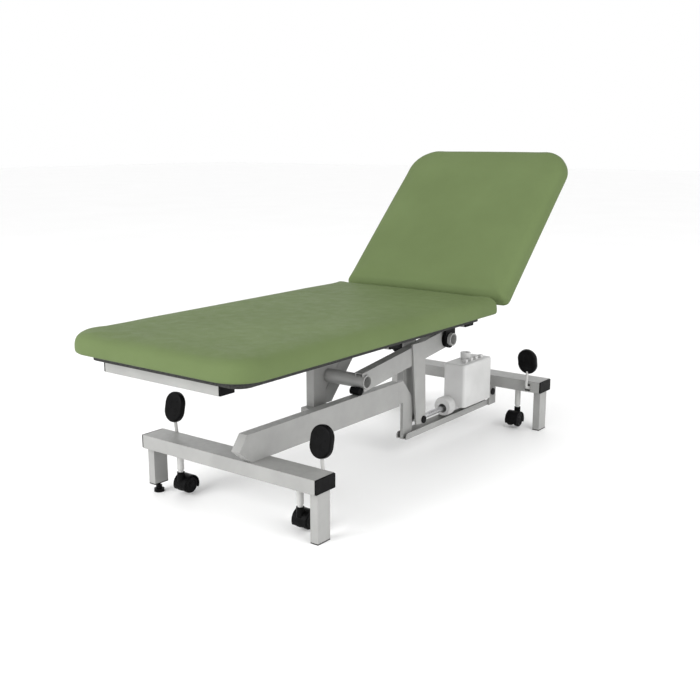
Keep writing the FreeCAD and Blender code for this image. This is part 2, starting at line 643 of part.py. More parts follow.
def castor(corner, side, inward):
    x = side + " * castor_x"
    stem_y = "-castor_in"
    axle_y = "trail - castor_in"
    tag = "castor_" + corner
    shaft = rod(tag + "_shaft", "z", ("0", stem_y, "stem_low"), "stem_r", "stem_top - stem_low")
    pin = rod(tag + "_pin", "z", ("0", stem_y, "swivel_low"), "swivel_r", "stem_top - swivel_low")
    corner_node(tag + "_stem", [fuse(tag + "_stem_all", [shaft, pin])], x, inward)

    shell = rod(tag + "_shell", "x", ("-hood_half", axle_y, "wheel_z"), "hood_r", "2 * hood_half")
    inside = rod(tag + "_inside", "x", ("-hood_half", axle_y, "wheel_z"), "hood_in_r", "2 * hood_half")
    under = box(tag + "_under",
                ("-2 * hood_half", axle_y + " - 2 * hood_r", "wheel_z + hood_lift - 2 * hood_r"),
                ("4 * hood_half", "4 * hood_r", "2 * hood_r"))
    hood = cut(tag + "_hood", shell, [inside, under])
    disc = rod(tag + "_disc", "x", ("-web_half", axle_y, "wheel_z"), "hood_in_r + run_fit", "2 * web_half")
    low = box(tag + "_low", ("-2 * web_half", axle_y + " - 2 * hood_r", "wheel_z - web_drop - 2 * hood_r"),
              ("4 * web_half", "4 * hood_r", "2 * hood_r"))
    web = cut(tag + "_web", disc, [low])
    post = rod(tag + "_post", "z", ("0", stem_y, "boss_low"), "boss_r", "boss_top - boss_low")
    clear = rod(tag + "_clear", "x", ("-hood_half", axle_y, "wheel_z"), "hood_in_r", "2 * hood_half")
    boss = cut(tag + "_boss", post, [clear])
    axle = rod(tag + "_axle", "x", ("-wheel_gap - wheel_thick", axle_y, "wheel_z"), "axle_r",
               "2 * wheel_gap + 2 * wheel_thick")
    bore = rod(tag + "_bore", "z", ("0", stem_y, "bore_low"), "swivel_r + run_fit", "boss_top - bore_low")
    fork = cut(tag + "_fork_all", fuse(tag + "_fork_body", [hood, web, boss, axle]), [bore])
    corner_node(tag + "_fork", [fork], x, inward)

    wheels = [ring("%s_wheel_%d" % (tag, i), "x", (low_x, axle_y, "wheel_z"), "wheel_r",
                   "axle_r + run_fit", "wheel_thick")
              for i, low_x in enumerate(("-wheel_gap - wheel_thick", "wheel_gap"))]
    corner_node(tag + "_wheels", wheels, x, inward)


def bent_rod(name):
    """Pedal rod: out through the beam's slot, then up, as one bent bar."""
    body = doc.addObject("PartDesign::Body", name)
    path = new_sketch(body, "YZ_Plane", name + "_path")
    bend = size_of("rod_bend")
    across = size_of("rod_out")
    low = size_of("pedal_z")
    hub = FreeCAD.Vector(across - bend, low + bend, 0)
    top = FreeCAD.Vector(across, size_of("rod_top"), 0)
    path.addGeometry(Part.LineSegment(FreeCAD.Vector(-size_of("rod_tail"), low, 0),
                                      FreeCAD.Vector(across - bend, low, 0)), False)
    path.addGeometry(Part.ArcOfCircle(Part.Circle(hub, Z_AXIS, bend), -math.pi / 2, 0), False)
    path.addGeometry(Part.LineSegment(FreeCAD.Vector(across, low + bend, 0), top), False)
    path.addConstraint(Sketcher.Constraint("Tangent", 0, 2, 1, 1))
    path.addConstraint(Sketcher.Constraint("Tangent", 1, 2, 2, 1))
    path.addConstraint(Sketcher.Constraint("Horizontal", 0))
    for kind, geometry, point, value, text in (("DistanceX", 0, 1, -size_of("rod_tail"), "-rod_tail"),
                                               ("DistanceY", 0, 1, low, "pedal_z"),
                                               ("DistanceX", 0, 2, across - bend, "rod_out - rod_bend"),
                                               ("DistanceX", 2, 2, across, "rod_out - rod_lean"),
                                               ("DistanceY", 2, 2, size_of("rod_top"), "rod_top")):
        index = path.addConstraint(Sketcher.Constraint(kind, -1, 1, geometry, point, value))
        path.setExpression("Constraints[%d]" % index, bound(text))
    path.addConstraint(Sketcher.Constraint("Radius", 1, bend))
    doc.recompute()
    round_face = new_sketch(body, "XZ_Plane", name + "_section")
    round_face.AttachmentOffset = FreeCAD.Placement(FreeCAD.Vector(0, 0, size_of("rod_tail")),
                                                    FreeCAD.Rotation())
    round_face.addGeometry(Part.Circle(FreeCAD.Vector(0, size_of("pedal_z"), 0), Z_AXIS,
                                       size_of("pedal_rod_r")), False)
    number = round_face.addConstraint(Sketcher.Constraint("Radius", 0, size_of("pedal_rod_r")))
    round_face.setExpression("Constraints[%d]" % number, bound("pedal_rod_r"))
    round_face.addConstraint(Sketcher.Constraint("PointOnObject", 0, 3, -2))
    number = round_face.addConstraint(Sketcher.Constraint("DistanceY", -1, 1, 0, 3, size_of("pedal_z")))
    round_face.setExpression("Constraints[%d]" % number, bound("pedal_z"))
    doc.recompute()
    pipe = body.newObject("PartDesign::AdditivePipe", name + "_pipe")
    pipe.Profile = round_face
    pipe.Spine = (path, ["Edge%d" % (i + 1) for i in range(len(path.Shape.Edges))])
    body.Tip = pipe
    doc.recompute()
    return body


def stadium(name, radius, tall, thick):
    """A flat pad with two round ends, centred on the origin and facing along Y."""
    body = doc.addObject("PartDesign::Body", name)
    sketch = new_sketch(body, "XZ_Plane", name + "_outline")
    r = size_of(radius)
    half = size_of(tall) / 2 - r
    up = Part.Circle(FreeCAD.Vector(0, half, 0), Z_AXIS, r)
    down = Part.Circle(FreeCAD.Vector(0, -half, 0), Z_AXIS, r)
    sketch.addGeometry(Part.ArcOfCircle(up, 0, math.pi), False)
    sketch.addGeometry(Part.LineSegment(FreeCAD.Vector(-r, half, 0), FreeCAD.Vector(-r, -half, 0)), False)
    sketch.addGeometry(Part.ArcOfCircle(down, math.pi, math.tau), False)
    sketch.addGeometry(Part.LineSegment(FreeCAD.Vector(r, -half, 0), FreeCAD.Vector(r, half, 0)), False)
    for first, second in ((0, 1), (1, 2), (2, 3), (3, 0)):
        sketch.addConstraint(Sketcher.Constraint("Tangent", first, 2, second, 1))
    sketch.addConstraint(Sketcher.Constraint("Symmetric", 0, 3, 2, 3, -1, 1))
    sketch.addConstraint(Sketcher.Constraint("Vertical", 1))
    number = sketch.addConstraint(Sketcher.Constraint("Radius", 0, r))
    sketch.setExpression("Constraints[%d]" % number, bound(radius))
    number = sketch.addConstraint(Sketcher.Constraint("DistanceY", 2, 3, 0, 3, 2 * half))
    sketch.setExpression("Constraints[%d]" % number, bound("%s - 2 * %s" % (tall, radius)))
    pad = body.newObject("PartDesign::Pad", name + "_pad")
    pad.Profile = sketch
    pad.SideType = "Symmetric"
    drive(pad, Length=thick)
    body.Tip = pad
    doc.recompute()
    return round_edges(body, name + "_rims", lambda edge: edge.BoundBox.YLength < 0.01, "pad_round")


def pedal(corner, side, inward):
    x = side + " * pedal_x"
    roll = rod("pedal_%s_roll" % corner, "x", ("-roll_half", "-pedal_in", "pedal_z"), "roll_r",
               "2 * roll_half")
    bar = fuse("pedal_%s_lever" % corner, [bent_rod("pedal_%s_bar" % corner), roll])
    corner_node("pedal_%s_rod" % corner, [bar], x, inward)
    pad = stadium("pedal_%s_face" % corner, "pad_r", "pad_tall", "pad_thick")
    place(pad, "0", "pad_y", "pad_z", X_AXIS, "-pad_lean")
    corner_node("pedal_%s_pad" % corner, [pad], x, inward)


# ---------------------------------------------------------------- lift arm, control link and drive
def lift_arm():
    outer = tube("arm_straight", "y", ("spine_x", "-arm_tail", "-arm_half"),
                 ("spine_wide", "arm_long + arm_tail + arm_nose", "2 * arm_half"), "arm_wall")
    lower = rod("arm_lower_hole", "x", ("spine_x", "0", "0"), "torque_r", "spine_wide")
    upper = rod("arm_upper_hole", "x", ("spine_x", "arm_long", "0"), "torque_r + run_fit", "spine_wide")
    node("lift_arm_tube", [cut("arm_drilled", outer, [lower, upper])],
         y="front_y + pivot_y", z="pivot_z", axis=X_AXIS, turn="arm_tilt")
    node("lower_torque_tube", [ring("torque_tube", "x", ("torque_x", "pivot_y", "pivot_z"), "torque_r",
                                    "torque_in_r", "torque_long")])
    upper_y = "pivot_y + arm_run"
    upper_z = "pivot_z + arm_rise"
    bushes = [ring("upper_bush_%d" % i, "x", (low_x, upper_y, upper_z), "bush_r", "torque_r + run_fit",
                   "bush_thick")
              for i, low_x in enumerate(("spine_x - bush_thick", "spine_x + spine_wide"))]
    node("upper_bushes", bushes)


def crank():
    """Two plates that hang from the arm tube down to the drive rod's pin."""
    plates = []
    for low_x in ("spine_x - crank_thick", "spine_x + spine_wide"):
        name = "crank_%d" % len(plates)
        blank = slab(name + "_blank", "YZ_Plane",
                     [("crank_front", "crank_top"), ("crank_foot", "crank_foot_z"),
                      ("crank_y", "drive_z - crank_eye_r"), ("crank_y + crank_eye_r", "drive_z"),
                      ("crank_back", "crank_top")], "crank_thick")
        place(blank, x=low_x)
        eye = rod(name + "_eye", "x", (low_x, "crank_y", "drive_z"), "crank_eye_r", "crank_thick")
        hole = rod(name + "_hole", "x", (low_x, "crank_y", "drive_z"), "pin_r", "crank_thick")
        plates.append(cut(name, fuse(name + "_solid", [blank, eye]), [hole]))
    node("crank_plates", plates)
    node("crank_pin", [capped_pin("front_pin", "spine_x - crank_thick", "spine_wide + 2 * crank_thick",
                                  "crank_y")])


def control_link():
    bar = box("link_bar", ("link_x", "0", "-link_half"), ("link_thick", "arm_long", "2 * link_half"))
    ends = [rod("link_end_%d" % i, "x", ("link_x", y, "0"), "link_half", "link_thick")
            for i, y in enumerate(("0", "arm_long"))]
    lower = rod("link_lower_bore", "x", ("link_x", "0", "0"), "link_pin_r + run_fit", "link_thick")
    upper = rod("link_upper_bore", "x", ("link_x", "arm_long", "0"),
                "link_top_pin_r + link_top_clear", "link_thick")
    node("control_link", [cut("link_drilled", fuse("link_solid", [bar] + ends), [lower, upper])],
         y="front_y + link_y", z="link_z", axis=X_AXIS, turn="arm_tilt")


def drive_unit():
    barrel = rod("drive_barrel", "y", ("drive_x", "drive_nose", "drive_z"), "drive_r",
                 "drive_tail - drive_nose")
    collar = rod("drive_collar", "y", ("drive_x", "drive_nose", "drive_z + collar_rise"), "collar_r",
                 "collar_long")
    low_x = "drive_x - eye_wide / 2"
    lug = box("drive_lug", (low_x, "drive_tail", "drive_z - eye_r"),
              ("eye_wide", "drive_y - drive_tail", "eye_r + lug_rise"))
    eye = rod("drive_eye", "x", (low_x, "drive_y", "drive_z"), "eye_r", "eye_wide")
    bore = rod("drive_bore", "y", ("drive_x", "drive_nose", "drive_z"), "drive_bore_r", "bore_deep")
    hole = rod("drive_eye_hole", "x", (low_x, "drive_y", "drive_z"), "pin_r + run_fit", "eye_wide")
    node("drive_housing", [cut("drive_drilled", fuse("drive_solid", [barrel, collar, lug, eye]),
                               [bore, hole])])
    shaft = rod("ram_shaft", "y", ("drive_x", "crank_y", "drive_z"), "ram_r", "ram_long")
    ram_eye = rod("ram_eye", "x", (low_x, "crank_y", "drive_z"), "eye_r", "eye_wide")
    ram_hole = rod("ram_hole", "x", (low_x, "crank_y", "drive_z"), "pin_r + run_fit", "eye_wide")
    node("drive_rod", [cut("ram_drilled", fuse("ram_solid", [shaft, ram_eye]), [ram_hole])])


def control_box():
    """Box that sits astride the drive tube, with its sockets on top."""
    body = slab("box_body", "XY_Plane",
                [("box_x", "box_y"), ("box_x + box_wide", "box_y"),
                 ("box_x + box_wide", "box_y + box_deep"), ("box_x", "box_y + box_deep")],
                "box_top - box_low")
    round_edges(body, "box_uprights", upright, "box_round")
    top = size_of("box_top") - size_of("box_low")
    round_edges(body, "box_rim", lambda edge: abs(edge.BoundBox.ZMin - top) < 0.01, "box_round / 2")
    place(body, z="box_low")
    saddle = rod("box_saddle", "y", ("drive_x", "box_y", "drive_z"), "drive_r", "box_deep")
    node("control_box", [cut("box_cut", body, [saddle])])
    dome = rod("socket_dome", "z", ("dome_x", "dome_y", "box_top"), "dome_r", "dome_tall")
    dish = rod("socket_dish", "z", ("dome_x", "dome_y", "box_top + dome_tall - dish_deep"), "dish_r",
               "dish_deep")
    taps = [box("socket_tap_%d" % i, ("tap_x", "tap_y + %d * tap_step" % i, "box_top"),
                ("tap_wide", "tap_deep", "tap_tall")) for i in range(4)]
    node("box_sockets", [cut("socket_round", dome, [dish])] + taps)


# ---------------------------------------------------------------- seat section
def seat_frame():
    tubes = []
    caps = []
    for low_y, half in (("foot_cross", "foot_cross_half"), ("mid_cross", "cross_half"),
                        ("head_cross", "cross_half")):
        tubes.append(tube("seat_cross_%d" % len(tubes), "x", ("-" + half, low_y, "frame_low"),
                          ("2 * " + half, "cross_deep", "frame_tall"), "frame_wall"))
        for low_x in ("-%s - end_cap" % half, half):
            caps.append(box("seat_cap_%d" % len(caps), (low_x, low_y, "frame_low"),
                            ("end_cap", "cross_deep", "frame_tall")))
    node("seat_cross_tubes", tubes)
    node("seat_tube_caps", caps)
    rails = []
    spans = (("foot_cross + cross_deep", "mid_cross"), ("mid_cross + cross_deep", "head_cross"),
             ("head_cross + cross_deep", "rail_end"))
    for low_x in ("-rail_in - rail_wide", "rail_in"):
        for start, end in spans:
            rails.append(tube("seat_rail_%d" % len(rails), "y", (low_x, start, "frame_low"),
                              ("rail_wide", "%s - (%s)" % (end, start), "frame_tall"), "frame_wall"))
    node("seat_rails", rails)


def cushion_slab(name, half, start, end, start_corner, end_corner, thick):
    """A flat slab in the XY plane with its own radius at each pair of corners."""
    body = slab(name, "XY_Plane",
                [("-(%s)" % half, start), (half, start), (half, end), ("-(%s)" % half, end)], thick)
    first = body.Tip.Shape.BoundBox.YMin
    round_edges(body, name + "_near_corners",
                lambda edge: upright(edge) and abs(edge.BoundBox.YMin - first) < 0.01, start_corner)
    last = body.Tip.Shape.BoundBox.YMax
    round_edges(body, name + "_far_corners",
                lambda edge: upright(edge) and abs(edge.BoundBox.YMin - last) < 0.01, end_corner)
    return body


def crown(body, name):
    """Round the cushion's upper rim."""
    top = body.Tip.Shape.BoundBox.ZMax
    return round_edges(body, name, lambda edge: abs(edge.BoundBox.ZMin - top) < 0.01, "cushion_round")


def seat_padding():
    board = cushion_slab("seat_board_body", "board_half", "seat_foot + board_inset",
                         "seat_head - board_inset", "foot_corner - board_inset", "head_corner / 2",
                         "board_thick")
    place(board, z="frame_low + frame_tall")
    node("seat_board", [board])
    cushion = cushion_slab("seat_cushion_body", "cushion_half", "seat_foot", "seat_head", "foot_corner",
                           "head_corner", "cushion_thick")
    crown(cushion, "seat_cushion_rim")
    place(cushion, z="frame_low + frame_tall + board_thick")
    node("seat_cushion", [cushion])


def seat_pivots():
    upper_y = "pivot_y + arm_run"
    upper_z = "pivot_z + arm_rise"
    plates = []
    for low_x in ("rail_in - bracket_thick", "rail_in + rail_wide"):
        name = "seat_bracket_%d" % len(plates)
        blank = box(name + "_blank", (low_x, upper_y + " - bracket_half", upper_z),
                    ("bracket_thick", "2 * bracket_half", "bracket_top - (%s)" % upper_z))
        eye = rod(name + "_eye", "x", (low_x, upper_y, upper_z), "bracket_half", "bracket_thick")
        hole = rod(name + "_hole", "x", (low_x, upper_y, upper_z), "torque_r", "bracket_thick")
        plates.append(cut(name, fuse(name + "_solid", [blank, eye]), [hole]))
    node("seat_pivot_brackets", plates)
    node("seat_pivot_tube", [ring("upper_tube", "x", ("upper_tube_x", upper_y, upper_z), "torque_r",
                                  "torque_in_r", "upper_tube_long")])


def link_ears():
    """Two ears under the far rail, joined by the control link's upper pin."""
    top_y = "link_y + arm_run"
    top_z = "link_z + arm_rise"
    pieces = []
    for low_x in ("link_x - ear_gap - ear_thick", "link_x + link_thick + ear_gap"):
        name = "link_ear_%d" % len(pieces)
        pieces.append(box(name + "_blank", (low_x, top_y + " - link_half", top_z),
                          ("ear_thick", "2 * link_half", "frame_low - (%s)" % top_z)))
        pieces.append(rod(name + "_eye", "x", (low_x, top_y, top_z), "link_half", "ear_thick"))
    pieces.append(rod("link_top_pin", "x", ("link_x - ear_gap - ear_thick", top_y, top_z),
                      "link_top_pin_r", "link_thick + 2 * ear_gap + 2 * ear_thick"))
    return fuse("link_ears", pieces)


def strut_ears(name, y, z, root_z, half):
    """Two ears and a pin for one end of the gas strut."""
    pieces = []
    for low_x in ("-strut_ear_gap - strut_ear", "strut_ear_gap"):
        tag = "%s_%d" % (name, len(pieces))
        pieces.append(slab(tag + "_blank", "YZ_Plane",
                           [("%s - %s" % (y, half), root_z), ("%s - strut_ear_r" % y, z),
                            ("%s + strut_ear_r" % y, z), ("%s + %s" % (y, half), root_z)], "strut_ear"))
        place(pieces[-1], x=low_x)
        pieces.append(rod(tag + "_eye", "x", (low_x, y, z), "strut_ear_r", "strut_ear"))
    pieces.append(rod(name + "_pin", "x", ("-strut_ear_gap - strut_ear", y, z), "strut_pin_r",
                      "2 * strut_ear_gap + 2 * strut_ear"))
    return fuse(name, pieces)


def seat_lugs():
    """Lugs from the head cross tube up to the backrest hinge, each with its own pin."""
    lugs = []
    out = "side_in + side_wide + lug_thick + lug_gap"
    for side in (-1, 1):
        name = "seat_lug_%d" % len(lugs)
        low_x = out if side > 0 else "-(%s) - lug_thick" % out
        pin_x = "side_in + side_wide - lug_head" if side > 0 else "-(%s) - lug_thick" % out
        head_x = "side_in + side_wide - lug_head - lug_gap" if side > 0 else "lug_gap - side_in - side_wide"
        blank = slab(name + "_blank", "YZ_Plane",
                     [("head_cross + cross_deep", "frame_low + frame_wall"),
                      ("hinge_y - 2 * lug_r", "frame_low + frame_wall"),
                      ("hinge_y + lug_r", "hinge_z"), ("hinge_y - lug_r", "hinge_z"),
                      ("hinge_y - 4 * lug_r", "frame_low + frame_tall"),
                      ("head_cross + cross_deep", "frame_low + frame_tall")], "lug_thick")
        place(blank, x=low_x)
        eye = rod(name + "_eye", "x", (low_x, "hinge_y", "hinge_z"), "lug_r", "lug_thick")
        pin = rod(name + "_pin", "x", (pin_x, "hinge_y", "hinge_z"), "lug_pin_r",
                  "lug_head + 2 * lug_thick + lug_gap")
        head = rod(name + "_head", "x", (head_x, "hinge_y", "hinge_z"), "lug_head_r", "lug_head")
        lugs.append(fuse(name, [blank, eye, pin, head]))
    node("seat_hinge_lugs", lugs)


# ---------------------------------------------------------------- backrest and strut
def back_node(name, pieces):
    """Backrest pieces are drawn level about the hinge axis, then raised with it."""
    return node(name, pieces, y="front_y + hinge_y", z="hinge_z", axis=X_AXIS, turn="back_tilt")


def backrest_frame():
    pieces = []
    for low_x in ("-side_in - side_wide", "side_in"):
        pieces.append(tube("back_side_%d" % len(pieces), "y", (low_x, "back_frame_start", "back_under"),
                           ("side_wide", "back_frame_end - back_frame_start", "frame_tall"), "frame_wall"))
    for start, deep in (("back_cross_low", "back_cross_deep"), ("back_cross_mid", "side_wide"),
                        ("back_cross_top", "side_wide")):
        pieces.append(tube("back_cross_%d" % len(pieces), "x", ("-side_in", start, "back_under"),
                           ("2 * side_in", deep, "frame_tall"), "frame_wall"))
    pieces.append(strut_ears("strut_upper", "strut_reach", "strut_drop", "back_under", "strut_ear_half"))
    back_node("backrest_frame", pieces)
    lugs = []
    under = "back_under + frame_wall"
    over = "back_under + frame_tall - lug_gap - lug_gap"
    for low_x in ("-side_in - side_wide - lug_thick", "side_in + side_wide"):
        name = "back_lug_%d" % len(lugs)
        blank = slab(name + "_blank", "YZ_Plane",
                     [("-lug_r", "0"), ("0", under), ("9 * lug_r", under), ("9 * lug_r", over),
                      ("lug_r + lug_head", over), ("lug_r - lug_gap", "0")], "lug_thick")
        place(blank, x=low_x)
        eye = rod(name + "_eye", "x", (low_x, "0", "0"), "lug_r", "lug_thick")
        hole = rod(name + "_hole", "x", (low_x, "0", "0"), "lug_pin_r + run_fit", "lug_thick")
        lugs.append(cut(name, fuse(name + "_solid", [blank, eye]), [hole]))
    back_node("backrest_hinge_lugs", lugs)


def backrest_padding():
    board = cushion_slab("back_board_body", "board_half", "back_start + board_inset",
                         "back_end - board_inset", "head_corner / 2", "top_corner - board_inset",
                         "board_thick")
    place(board, z="back_under + frame_tall")
    back_node("backrest_board", [board])
    cushion = cushion_slab("back_cushion_body", "cushion_half", "back_start", "back_end", "head_corner",
                           "top_corner", "cushion_thick")
    crown(cushion, "back_cushion_rim")
    place(cushion, z="back_under + frame_tall + board_thick")
    back_node("backrest_cushion", [cushion])


def gas_strut():
    """Drawn along Y from its lower pivot, then sloped with the backrest."""
    eye = rod("strut_tube_eye", "x", ("-strut_eye_half", "0", "0"), "strut_eye_r", "2 * strut_eye_half")
    barrel = rod("strut_barrel", "y", ("0", "0", "0"), "strut_tube_r", "strut_tube_end")
    side = box("strut_trim_box", ("-2 * strut_tube_r", "0", "-2 * strut_tube_r"),
               ("4 * strut_tube_r", "2 * strut_eye_r", "4 * strut_tube_r"))
    body = cut("strut_barrel_cut", barrel, [side])
    neck = rod("strut_neck", "y", ("0", "0", "0"), "strut_bore_r", "2 * strut_eye_r")
    bore = rod("strut_bore", "y", ("0", "strut_bore_from", "0"), "strut_bore_r",
               "strut_tube_end - strut_bore_from")
    hole = rod("strut_tube_hole", "x", ("-strut_eye_half", "0", "0"), "strut_pin_r + run_fit",
               "2 * strut_eye_half")
    node("strut_tube", [cut("strut_tube_drilled", fuse("strut_tube_solid", [eye, body, neck]),
                            [bore, hole])],
         y="front_y + strut_y", z="strut_z", axis=X_AXIS, turn="strut_tilt")
    start = "strut_span - strut_rod_long"
    shaft = rod("strut_shaft", "y", ("0", start, "0"), "strut_rod_r", "strut_rod_long")
    top = rod("strut_rod_eye", "x", ("-strut_eye_half", "strut_span", "0"), "strut_eye_r",
              "2 * strut_eye_half")
    top_hole = rod("strut_rod_hole", "x", ("-strut_eye_half", "strut_span", "0"),
                   "strut_pin_r + run_fit", "2 * strut_eye_half")
    node("strut_rod", [cut("strut_rod_drilled", fuse("strut_rod_solid", [shaft, top]), [top_hole])],
         y="front_y + strut_y", z="strut_z", axis=X_AXIS, turn="strut_tilt")


# ---------------------------------------------------------------- build and write
base_beams()
base_legs()
levelling_foot()
base_spine()
base_channel()
base_hanger()
base_tower()
base_pivots()
castor_guides()
for corner_name, corner_side, corner_inward in CORNERS:
    castor(corner_name, corner_side, corner_inward)
    pedal(corner_name, corner_side, corner_inward)
lift_arm()
crank()
control_link()
drive_unit()
control_box()
seat_frame()
seat_padding()
seat_pivots()
node("seat_strut_and_link_ears",
     [link_ears(), strut_ears("strut_lower", "strut_y", "strut_z", "frame_low", "strut_ear_half")])
seat_lugs()
backrest_frame()
backrest_padding()
gas_strut()

doc.recompute()
for item in NODES:
    shape = item.Shape
    if "Invalid" in item.State or "Error" in item.State or shape.isNull() or not shape.isValid():
        raise RuntimeError("piece %s did not build: %s" % (item.Label, item.State))
    shape.exportStep("parts/%s.step" % item.Label)
    room = shape.BoundBox
    print("%-26s solids %d  x %.1f..%.1f  y %.1f..%.1f  z %.1f..%.1f" % (
        item.Label, len(shape.Solids), room.XMin, room.XMax, room.YMin, room.YMax, room.ZMin, room.ZMax))
print("pieces", len(NODES))
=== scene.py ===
# %% [markdown]
# # An examination couch, dressed for its portrait
# The steel work, castors and drive arrive as finished solids.  This lesson loads them, upholsters the two
# cushions, models the moulded plastic pieces that need softer forms than a plain solid has, and gives every
# surface a finish made of nodes.

# %% Load the frame
import json
import math

import bpy
from mathutils import Matrix, Vector


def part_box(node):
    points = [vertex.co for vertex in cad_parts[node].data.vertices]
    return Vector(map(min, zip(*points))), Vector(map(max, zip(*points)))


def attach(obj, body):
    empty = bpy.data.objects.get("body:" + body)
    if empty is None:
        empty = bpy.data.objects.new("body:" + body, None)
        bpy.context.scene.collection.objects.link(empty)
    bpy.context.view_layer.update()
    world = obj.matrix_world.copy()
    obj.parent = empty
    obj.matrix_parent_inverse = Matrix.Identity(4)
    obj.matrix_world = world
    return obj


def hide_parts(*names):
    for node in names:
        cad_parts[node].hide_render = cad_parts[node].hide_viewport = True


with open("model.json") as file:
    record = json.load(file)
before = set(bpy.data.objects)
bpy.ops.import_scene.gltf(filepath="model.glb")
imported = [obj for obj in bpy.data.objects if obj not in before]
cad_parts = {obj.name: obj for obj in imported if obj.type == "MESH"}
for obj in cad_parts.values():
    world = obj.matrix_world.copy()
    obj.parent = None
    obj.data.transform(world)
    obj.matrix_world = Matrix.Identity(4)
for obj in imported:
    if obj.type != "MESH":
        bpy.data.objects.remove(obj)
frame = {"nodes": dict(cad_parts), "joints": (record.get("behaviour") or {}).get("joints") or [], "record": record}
nodes = frame["nodes"]
joints = {joint["name"]: joint for joint in frame["joints"]}
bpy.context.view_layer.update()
print("solids loaded:", len(nodes))

# %% [markdown]
# Every modelling step acts on what is selected, so the helpers below always start from nothing selected.
# `choose` picks edges or faces by a rule about where they are, which is how a hand would pick them too.

# %% Small hand tools
def pick(piece):
    bpy.ops.object.select_all(action="DESELECT")
    piece.select_set(True)
    bpy.context.view_layer.objects.active = piece


def choose(piece, mode, rule):
    """Enter edit mode with just the edges or faces selected that the rule accepts."""
    pick(piece)
    bpy.ops.object.mode_set(mode="EDIT")
    bpy.ops.mesh.select_mode(type=mode)
    bpy.ops.mesh.select_all(action="DESELECT")
    bpy.ops.object.mode_set(mode="OBJECT")
    corners = piece.data.vertices
    for item in (piece.data.edges if mode == "EDGE" else piece.data.polygons):
        item.select = rule([corners[i].co for i in item.vertices])
    bpy.ops.object.mode_set(mode="EDIT")


def bevel(piece, rule, width, segments):
    choose(piece, "EDGE", rule)
    bpy.ops.mesh.bevel(offset=width, segments=segments, profile=0.5, affect="EDGES")
    bpy.ops.object.mode_set(mode="OBJECT")


def block(name, low, high):
    """A cube between two corners, with its place in its mesh."""
    bpy.ops.object.select_all(action="DESELECT")
    bpy.ops.mesh.primitive_cube_add(size=1.0, location=(low + high) / 2, scale=high - low)
    bpy.ops.object.transform_apply(location=True, rotation=True, scale=True)
    piece = bpy.context.object
    piece.name = name
    return piece


def along(ends, axis):
    """True where an edge runs along one axis."""
    step = ends[1] - ends[0]
    return abs(step[axis]) > 0.99 * step.length > 0


def at(ends, axis, value):
    """True where every corner lies at one height or place on an axis."""
    return all(abs(end[axis] - value) < 0.0005 for end in ends)


def join(name, pieces):
    bpy.ops.object.select_all(action="DESELECT")
    for piece in pieces:
        piece.select_set(True)
    bpy.context.view_layer.objects.active = pieces[0]
    if len(pieces) > 1:
        bpy.ops.object.join()
    piece = bpy.context.object
    piece.name = name
    bpy.ops.object.transform_apply(location=True, rotation=True, scale=True)
    return piece


def wear(piece, finish):
    piece.data.materials.clear()
    piece.data.materials.append(finish)


def fit(piece, body, finish, slot, *stands_for):
    """Shade a finished piece, paint it, and hang it on the body it moves with."""
    pick(piece)
    bpy.ops.object.shade_smooth_by_angle(angle=math.radians(40))
    wear(piece, finish)
    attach(piece, body)
    if stands_for:
        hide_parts(*stands_for)
    print(piece.name, "faces", len(piece.data.polygons))
    return piece


# %% [markdown]
# ## Finishes
# Each finish starts from one shader with a base colour, then noise breaks up its roughness and its surface.
# The small `grain` helper makes a bump from noise at a named grain size, because every one of these
# materials has some: orange peel on paint, spark texture on mouldings, a pebble grain on vinyl.

# %% Finish helpers
def new_finish(name, roughness, metallic=0.0, coat=0.0, shine=0.3):
    finish = bpy.data.materials.new(name)
    finish.use_nodes = True
    shader = finish.node_tree.nodes["Principled BSDF"]
    shader.inputs["Roughness"].default_value = roughness
    shader.inputs["Metallic"].default_value = metallic
    shader.inputs["Coat Weight"].default_value = coat
    shader.inputs["Specular IOR Level"].default_value = shine
    return finish, finish.node_tree, shader


def noise(tree, scale, detail=3.0, stretch=(1.0, 1.0, 1.0)):
    """Noise on object coordinates; scale counts its waves per metre."""
    place = tree.nodes.new("ShaderNodeTexCoord")
    mapping = tree.nodes.new("ShaderNodeMapping")
    mapping.inputs["Scale"].default_value = stretch
    texture = tree.nodes.new("ShaderNodeTexNoise")
    texture.inputs["Scale"].default_value = scale
    texture.inputs["Detail"].default_value = detail
    tree.links.new(place.outputs["Object"], mapping.inputs["Vector"])
    tree.links.new(mapping.outputs["Vector"], texture.inputs["Vector"])
    return texture.outputs["Fac"]


def vary(tree, shader, socket, source, low, high):
    """Spread a noise between two values and feed it to one socket of the shader."""
    spread = tree.nodes.new("ShaderNodeMapRange")
    spread.inputs["From Min"].default_value = 0.3
    spread.inputs["From Max"].default_value = 0.7
    spread.inputs["To Min"].default_value = low
    spread.inputs["To Max"].default_value = high
    tree.links.new(source, spread.inputs["Value"])
    tree.links.new(spread.outputs["Result"], shader.inputs[socket])


def tint(tree, shader, source, dark, light):
    """Mix two close colours by a noise."""
    ramp = tree.nodes.new("ShaderNodeValToRGB")
    ramp.color_ramp.elements[0].position = 0.35
    ramp.color_ramp.elements[0].color = (*dark, 1.0)
    ramp.color_ramp.elements[1].position = 0.65
    ramp.color_ramp.elements[1].color = (*light, 1.0)
    tree.links.new(source, ramp.inputs["Fac"])
    tree.links.new(ramp.outputs["Color"], shader.inputs["Base Color"])


